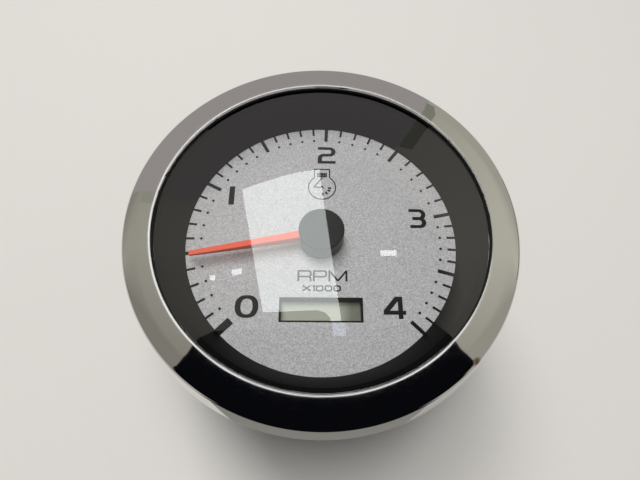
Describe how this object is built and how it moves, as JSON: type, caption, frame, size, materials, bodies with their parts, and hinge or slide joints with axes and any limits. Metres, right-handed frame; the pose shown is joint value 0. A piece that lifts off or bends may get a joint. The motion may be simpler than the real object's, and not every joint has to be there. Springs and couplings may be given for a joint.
{
  "type": "panel tachometer",
  "caption": "Round panel tachometer with a chromed bezel, a silver dial with an hour counter window, a tapered pointer and a rear clamp bracket.",
  "frame": {"origin": "centre of the panel's front face, on the can's axis, where the panel gasket bears", "axes": "+Z out of the dial towards the reader, +Y towards 12 o'clock, +X towards 3 o'clock"},
  "size_m": [0.1032, 0.1032, 0.079],
  "materials": {
    "bezel_chrome": "polished chrome plate",
    "gasket_rubber": "matt",
    "lens_glass": "clear polished",
    "ring_black": "semi-gloss moulded",
    "dial_silver": "fine metallic paint",
    "print_black": "screen print",
    "frame_black": "moulded",
    "display_grey": "display glass over a grey-green reflector",
    "strip_rubber": "silicone",
    "pointer_red": "fluorescent paint",
    "cap_black": "satin moulded",
    "spindle_steel": "ground",
    "magnet_grey": "pressed ferrite",
    "bobbin_ivory": "moulded",
    "coil_copper": "enamelled wire",
    "bush_brass": "turned",
    "shield_steel": "drawn",
    "box_white": "moulded",
    "board_green": "solder mask",
    "chip_black": "moulded epoxy",
    "capacitor_blue": "sleeved",
    "trimmer_blue": "moulded",
    "screw_steel": "zinc plated",
    "can_black": "fine moulded texture",
    "stud_brass": "plain turned",
    "bracket_steel": "zinc plated",
    "holder_ivory": "moulded",
    "bulb_glass": "clear",
    "calibrator_white": "moulded"
  },
  "bodies": {
    "root": {"bezel": "bezel_chrome", "lens_gasket": "gasket_rubber", "lens": "lens_glass", "shadow_ring": "ring_black", "dial_plate": "dial_silver", "scale_print": "print_black", "lcd_frame": "frame_black", "lcd_panel": "display_grey", "lcd_strips": "strip_rubber", "bobbin_front": "bobbin_ivory", "bobbin_rear": "bobbin_ivory", "coil_inner": "coil_copper", "coil_outer": "coil_copper", "front_bush": "bush_brass", "rear_bush": "bush_brass", "shield_can": "shield_steel", "light_box": "box_white", "circuit_board": "board_green", "driver_chip": "chip_black", "capacitors": "capacitor_blue", "regulator": "chip_black", "trimmer": "trimmer_blue", "board_screws": "screw_steel", "housing": "can_black", "panel_gasket": "gasket_rubber", "mounting_studs": "stud_brass", "terminal_studs": "stud_brass", "terminal_washers": "screw_steel", "terminal_nuts": "stud_brass"},
    "pointer": {"pointer": "pointer_red", "pointer_cap": "cap_black", "spindle": "spindle_steel", "rotor_magnet": "magnet_grey"},
    "bracket": {"bracket": "bracket_steel"},
    "nut_left": {"thumb_nut_left": "stud_brass"},
    "nut_right": {"thumb_nut_right": "stud_brass"},
    "lamp": {"lamp_holder": "holder_ivory", "lamp_bulb": "bulb_glass", "lamp_contacts": "bush_brass"},
    "calibrator": {"calibrator": "calibrator_white"}
  },
  "joints": [
    {"name": "pointer_swing", "type": "hinge", "parent": "root", "child": "pointer", "pos_m": [0, 0, 0], "axis": [0, 0, 1], "range_deg": [-236.4, 35.6]},
    {"name": "nut_left_turn", "type": "hinge", "parent": "bracket", "child": "nut_left", "pos_m": [-0.024, 0, 0], "axis": [0, 0, 1], "range_deg": [0, 5896.2]},
    {"name": "nut_right_turn", "type": "hinge", "parent": "bracket", "child": "nut_right", "pos_m": [0.024, 0, 0], "axis": [0, 0, 1], "range_deg": [0, 5896.2]},
    {"name": "bracket_slide", "type": "slide", "parent": "root", "child": "bracket", "axis": [0, 0, 1], "range_m": [0, 0.013]},
    {"name": "lamp_twist", "type": "hinge", "parent": "root", "child": "lamp", "pos_m": [0, 0.022, 0], "axis": [0, 0, 1], "range_deg": [0, 60]},
    {"name": "calibrator_turn", "type": "hinge", "parent": "root", "child": "calibrator", "pos_m": [0, -0.022, 0], "axis": [0, 0, 1], "range_deg": [-135, 135]}
  ],
  "couplings": [
    {"joint": "nut_left_turn", "follows": "bracket_slide", "rad_per_m": 7915.8},
    {"joint": "nut_right_turn", "follows": "bracket_slide", "rad_per_m": 7915.8}
  ]
}
